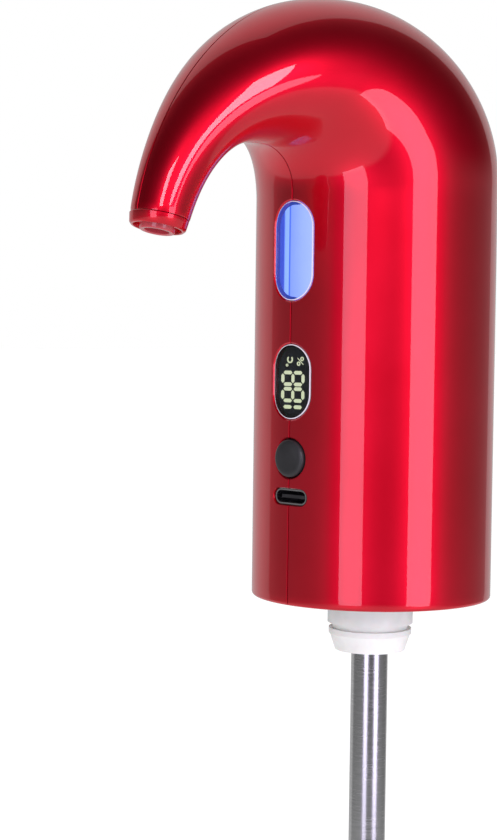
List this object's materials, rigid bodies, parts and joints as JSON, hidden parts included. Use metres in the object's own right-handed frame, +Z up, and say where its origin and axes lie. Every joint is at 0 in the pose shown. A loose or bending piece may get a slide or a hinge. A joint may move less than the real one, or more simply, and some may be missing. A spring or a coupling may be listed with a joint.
{
  "type": "electric wine pourer",
  "caption": "Battery wine aerator and pourer that plugs into an open bottle: swan-neck spout, lit window, display, button, charging socket, stopper and telescopic suction tube.",
  "frame": {"origin": "on the body's axis, in the plane of the housing's lower edge, at the middle of the stopper's sealing land", "axes": "+Z up the body's axis, -Y towards the spout, X across the parting plane"},
  "size_m": [0.0522, 0.0943, 0.2398],
  "materials": {
    "red_gloss": "candy red metallic lacquer, high gloss",
    "nozzle_red": "dark red translucent plastic",
    "window_clear": "frosted clear polycarbonate, lit from behind",
    "smoked_clear": "smoked clear polycarbonate, gloss",
    "lit_digits": "lit",
    "lit_blue": "lit",
    "black_matte": "fine matt texture",
    "silicone": "milky food-grade silicone",
    "black_rubber": "soft black rubber",
    "stainless": "drawn and brushed stainless steel",
    "steel": "plated steel",
    "brass": "bare",
    "board_green": "solder mask",
    "chip_black": "moulded epoxy",
    "grey_plastic": "as moulded",
    "cell_wrap": "shrink wrap",
    "wire_cover": "insulation"
  },
  "bodies": {
    "housing": {"left_shell": "red_gloss", "right_shell": "red_gloss", "spout_ring": "red_gloss", "outlet_nozzle": "nozzle_red", "window_lens": "window_clear", "light_guide": "lit_blue", "led_board": "board_green", "window_leds": "lit_blue", "display_lens": "smoked_clear", "display_module": "black_matte", "display_segments": "lit_digits", "tact_switch": "steel", "usb_shell": "stainless", "usb_tongue": "black_matte", "main_pcb": "board_green", "pcb_components": "chip_black", "socket_base": "black_matte", "base_screws": "steel", "socket_gasket": "silicone", "stopper": "silicone", "riser_pipe": "stainless", "tube_outer": "stainless", "tube_collar_upper": "black_matte", "chassis": "grey_plastic", "chassis_screws": "steel", "wine_hose": "silicone", "temp_sensor": "black_matte", "sensor_clip": "black_matte", "battery_cell": "cell_wrap", "battery_tabs": "stainless", "wires": "wire_cover", "motor_can": "steel", "motor_endcap": "black_matte", "motor_magnets": "steel", "motor_brushes": "brass", "motor_bushes": "brass", "motor_tie": "grey_plastic", "pump_body": "black_matte", "diaphragm": "black_rubber", "valve_plate": "grey_plastic", "valve_flaps": "black_rubber", "pump_head": "grey_plastic", "pump_screws": "steel", "air_hose": "silicone"},
    "button": {"power_button": "black_matte", "switch_plunger": "black_matte"},
    "middle_stage": {"tube_middle": "stainless", "tube_collar_lower": "black_matte"},
    "inner_stage": {"tube_inner": "stainless", "tube_foot": "black_matte"},
    "rotor": {"motor_shaft": "steel", "armature_core": "steel", "armature_coils": "brass", "commutator": "brass", "eccentric": "grey_plastic"},
    "rod": {"connecting_rod": "grey_plastic", "rod_bush": "brass"}
  },
  "joints": [
    {"name": "button_press", "type": "slide", "parent": "housing", "child": "button", "axis": [0, 1, 0], "range_m": [0, 0.0004], "stiffness_N_per_m": 900},
    {"name": "middle_stage_slide", "type": "slide", "parent": "housing", "child": "middle_stage", "axis": [0, 0, -1], "range_m": [0, 0.075]},
    {"name": "inner_stage_slide", "type": "slide", "parent": "middle_stage", "child": "inner_stage", "axis": [0, 0, -1], "range_m": [0, 0.075]},
    {"name": "motor_spin", "type": "hinge", "parent": "housing", "child": "rotor", "pos_m": [-0.012, 0, 0.034], "axis": [0, 1, 0], "continuous": true},
    {"name": "rod_orbit", "type": "hinge", "parent": "rotor", "child": "rod", "pos_m": [-0.0126, 0.0108, 0.034], "axis": [0, 1, 0], "continuous": true}
  ],
  "couplings": [
    {"joint": "rod_orbit", "follows": "motor_spin", "ratio": -1}
  ]
}
